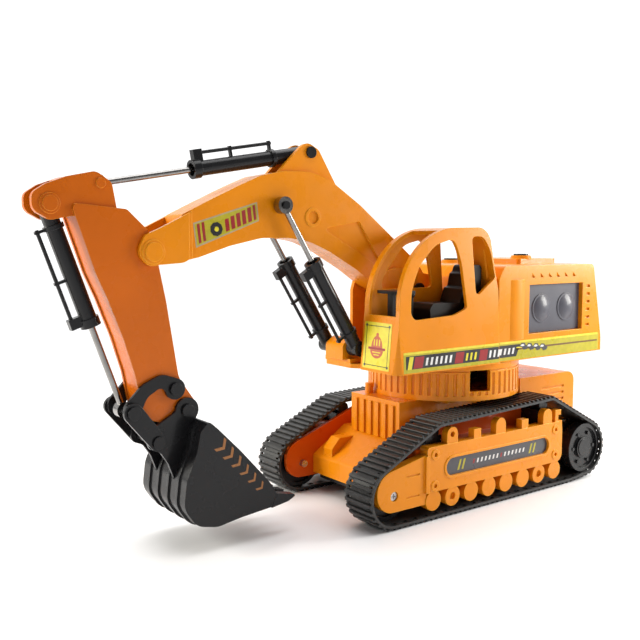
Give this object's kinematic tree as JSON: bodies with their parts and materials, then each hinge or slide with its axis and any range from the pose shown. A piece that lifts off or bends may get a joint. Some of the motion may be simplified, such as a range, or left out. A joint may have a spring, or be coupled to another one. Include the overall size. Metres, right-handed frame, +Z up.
{
  "type": "toy excavator",
  "caption": "Radio-controlled toy crawler excavator with slewing house, open cab, curved boom, stick, bucket linkage and dummy hydraulic cylinders.",
  "frame": {"origin": "on the ground plane under the track pads, on the axis that the house slews about", "axes": "+X forward (towards the arm), +Y to the cab side (the machine's left), +Z up"},
  "size_m": [0.4315, 0.1304, 0.2483],
  "materials": {
    "body_plastic": "moulded orange-yellow ABS, semi-gloss",
    "black_plastic": "moulded black ABS, semi-gloss",
    "belt_rubber": "soft black PVC, slightly shiny",
    "grey_plastic": "dark grey moulded plastic",
    "chrome_rod": "bright plated steel wire and eyes",
    "steel": "zinc-plated steel",
    "battery_wrap": "printed sleeve of an AA cell",
    "circuit_laminate": "green circuit laminate"
  },
  "bodies": {
    "undercarriage": {"chassis_deck": "body_plastic", "chassis_base": "black_plastic", "undercarriage_screws": "steel", "turntable_drum": "body_plastic", "battery_box": "black_plastic", "battery_cells": "battery_wrap", "power_switch_body": "black_plastic", "left_track_cover": "body_plastic", "right_track_cover": "body_plastic", "left_track_frame": "body_plastic", "right_track_frame": "body_plastic", "left_track_belt": "belt_rubber", "right_track_belt": "belt_rubber", "carrier_blocks": "black_plastic", "drive_gearboxes": "grey_plastic", "idler_axles": "steel"},
    "battery_door": {"battery_door": "black_plastic"},
    "power_switch_slider": {"power_switch_slider": "black_plastic"},
    "left_sprocket": {"left_sprocket": "black_plastic"},
    "right_sprocket": {"right_sprocket": "black_plastic"},
    "left_idler": {"left_idler": "black_plastic"},
    "right_idler": {"right_idler": "black_plastic"},
    "house": {"house_floor": "body_plastic", "slew_retainer": "black_plastic", "house_shell": "body_plastic", "left_fan_panel": "grey_plastic", "right_fan_panel": "grey_plastic", "roof_caps": "black_plastic", "front_deck_box": "body_plastic", "cab_shell": "body_plastic", "cab_tray": "black_plastic", "seat": "black_plastic", "control_levers": "black_plastic", "boom_bracket": "body_plastic", "house_pins": "black_plastic", "slew_motor": "steel", "circuit_board": "circuit_laminate"},
    "boom": {"boom_left_shell": "body_plastic", "boom_right_shell": "body_plastic", "boom_pins": "black_plastic", "boom_screws": "steel"},
    "stick": {"stick_left_shell": "body_plastic", "stick_right_shell": "body_plastic", "stick_pins": "black_plastic", "stick_screws": "steel"},
    "rocker": {"rocker_arms": "black_plastic", "rocker_pin": "black_plastic"},
    "bucket_link": {"bucket_link": "black_plastic"},
    "bucket": {"bucket_shell": "black_plastic", "bucket_teeth": "black_plastic", "bucket_ears": "black_plastic", "bucket_pin": "black_plastic"},
    "left_boom_barrel": {"left_boom_barrel": "black_plastic"},
    "right_boom_barrel": {"right_boom_barrel": "black_plastic"},
    "left_boom_rod": {"left_boom_rod": "chrome_rod"},
    "right_boom_rod": {"right_boom_rod": "chrome_rod"},
    "stick_barrel": {"stick_barrel": "black_plastic"},
    "stick_rod": {"stick_rod": "chrome_rod"},
    "bucket_barrel": {"bucket_barrel": "black_plastic"},
    "bucket_rod": {"bucket_rod": "chrome_rod"}
  },
  "joints": [
    {"name": "house_slew", "type": "hinge", "parent": "undercarriage", "child": "house", "pos_m": [0, 0, 0.09], "axis": [0, 0, 1], "continuous": true},
    {"name": "left_track_drive", "type": "hinge", "parent": "undercarriage", "child": "left_sprocket", "pos_m": [-0.093, 0.052, 0.0242], "axis": [0, 1, 0], "continuous": true},
    {"name": "left_idler_turn", "type": "hinge", "parent": "undercarriage", "child": "left_idler", "pos_m": [0.105, 0.049, 0.0218], "axis": [0, 1, 0], "continuous": true},
    {"name": "right_track_drive", "type": "hinge", "parent": "undercarriage", "child": "right_sprocket", "pos_m": [-0.093, -0.052, 0.0242], "axis": [0, 1, 0], "continuous": true},
    {"name": "right_idler_turn", "type": "hinge", "parent": "undercarriage", "child": "right_idler", "pos_m": [0.105, -0.049, 0.0218], "axis": [0, 1, 0], "continuous": true},
    {"name": "battery_door_slide", "type": "slide", "parent": "undercarriage", "child": "battery_door", "axis": [-1, 0, 0], "range_m": [0, 0.06]},
    {"name": "power_switch_slide", "type": "slide", "parent": "undercarriage", "child": "power_switch_slider", "axis": [1, 0, 0], "range_m": [0, 0.004]},
    {"name": "boom_lift", "type": "hinge", "parent": "house", "child": "boom", "pos_m": [0.04, 0, 0.15], "axis": [0, -1, 0], "range_deg": [-4.5, 34]},
    {"name": "stick_swing", "type": "hinge", "parent": "boom", "child": "stick", "pos_m": [0.245, 0, 0.1785], "axis": [0, -1, 0], "range_deg": [-12, 30]},
    {"name": "bucket_curl", "type": "hinge", "parent": "stick", "child": "bucket", "pos_m": [0.225, 0, 0.0845], "axis": [0, -1, 0], "range_deg": [-45, 12]},
    {"name": "rocker_swing", "type": "hinge", "parent": "stick", "child": "rocker", "pos_m": [0.2325, 0, 0.098], "axis": [0, -1, 0], "range_deg": [-39.74, 11.33]},
    {"name": "link_swing", "type": "hinge", "parent": "bucket", "child": "bucket_link", "pos_m": [0.245, 0, 0.068], "axis": [0, -1, 0], "range_deg": [-8.62, 29.59]},
    {"name": "bucket_barrel_swing", "type": "hinge", "parent": "stick", "child": "bucket_barrel", "pos_m": [0.302, 0, 0.2048], "axis": [0, -1, 0], "range_deg": [-3.27, 1.61]},
    {"name": "bucket_rod_swing", "type": "hinge", "parent": "rocker", "child": "bucket_rod", "pos_m": [0.26, 0, 0.087], "axis": [0, -1, 0], "range_deg": [-10.72, 37.47]},
    {"name": "stick_barrel_swing", "type": "hinge", "parent": "boom", "child": "stick_barrel", "pos_m": [0.1305, 0, 0.242], "axis": [0, -1, 0], "range_deg": [-2.3, 4.24]},
    {"name": "stick_rod_swing", "type": "hinge", "parent": "stick", "child": "stick_rod", "pos_m": [0.2735, 0, 0.2165], "axis": [0, -1, 0], "range_deg": [-27.76, 11.7]},
    {"name": "left_boom_barrel_swing", "type": "hinge", "parent": "house", "child": "left_boom_barrel", "pos_m": [0.098, 0.0158, 0.112], "axis": [0, -1, 0], "range_deg": [-4.94, 30.75]},
    {"name": "left_boom_rod_swing", "type": "hinge", "parent": "boom", "child": "left_boom_rod", "pos_m": [0.1575, 0.0158, 0.207], "axis": [0, -1, 0], "range_deg": [-5.25, 1.56]},
    {"name": "right_boom_barrel_swing", "type": "hinge", "parent": "house", "child": "right_boom_barrel", "pos_m": [0.098, -0.0158, 0.112], "axis": [0, -1, 0], "range_deg": [-4.94, 30.75]},
    {"name": "right_boom_rod_swing", "type": "hinge", "parent": "boom", "child": "right_boom_rod", "pos_m": [0.1575, -0.0158, 0.207], "axis": [0, -1, 0], "range_deg": [-5.25, 1.56]}
  ],
  "couplings": [
    {"joint": "left_idler_turn", "follows": "left_track_drive", "ratio": 1.036},
    {"joint": "right_idler_turn", "follows": "right_track_drive", "ratio": 1.036},
    {"joint": "rocker_swing", "follows": "bucket_curl", "ratio": 0.8609},
    {"joint": "link_swing", "follows": "bucket_curl", "ratio": -0.6354},
    {"joint": "bucket_barrel_swing", "follows": "bucket_curl", "ratio": 0.0505},
    {"joint": "bucket_rod_swing", "follows": "bucket_curl", "ratio": -0.8104},
    {"joint": "stick_barrel_swing", "follows": "stick_swing", "ratio": 0.108},
    {"joint": "stick_rod_swing", "follows": "stick_swing", "ratio": -0.892},
    {"joint": "left_boom_barrel_swing", "follows": "boom_lift", "ratio": 0.875},
    {"joint": "left_boom_rod_swing", "follows": "boom_lift", "ratio": -0.125},
    {"joint": "right_boom_barrel_swing", "follows": "boom_lift", "ratio": 0.875},
    {"joint": "right_boom_rod_swing", "follows": "boom_lift", "ratio": -0.125}
  ]
}
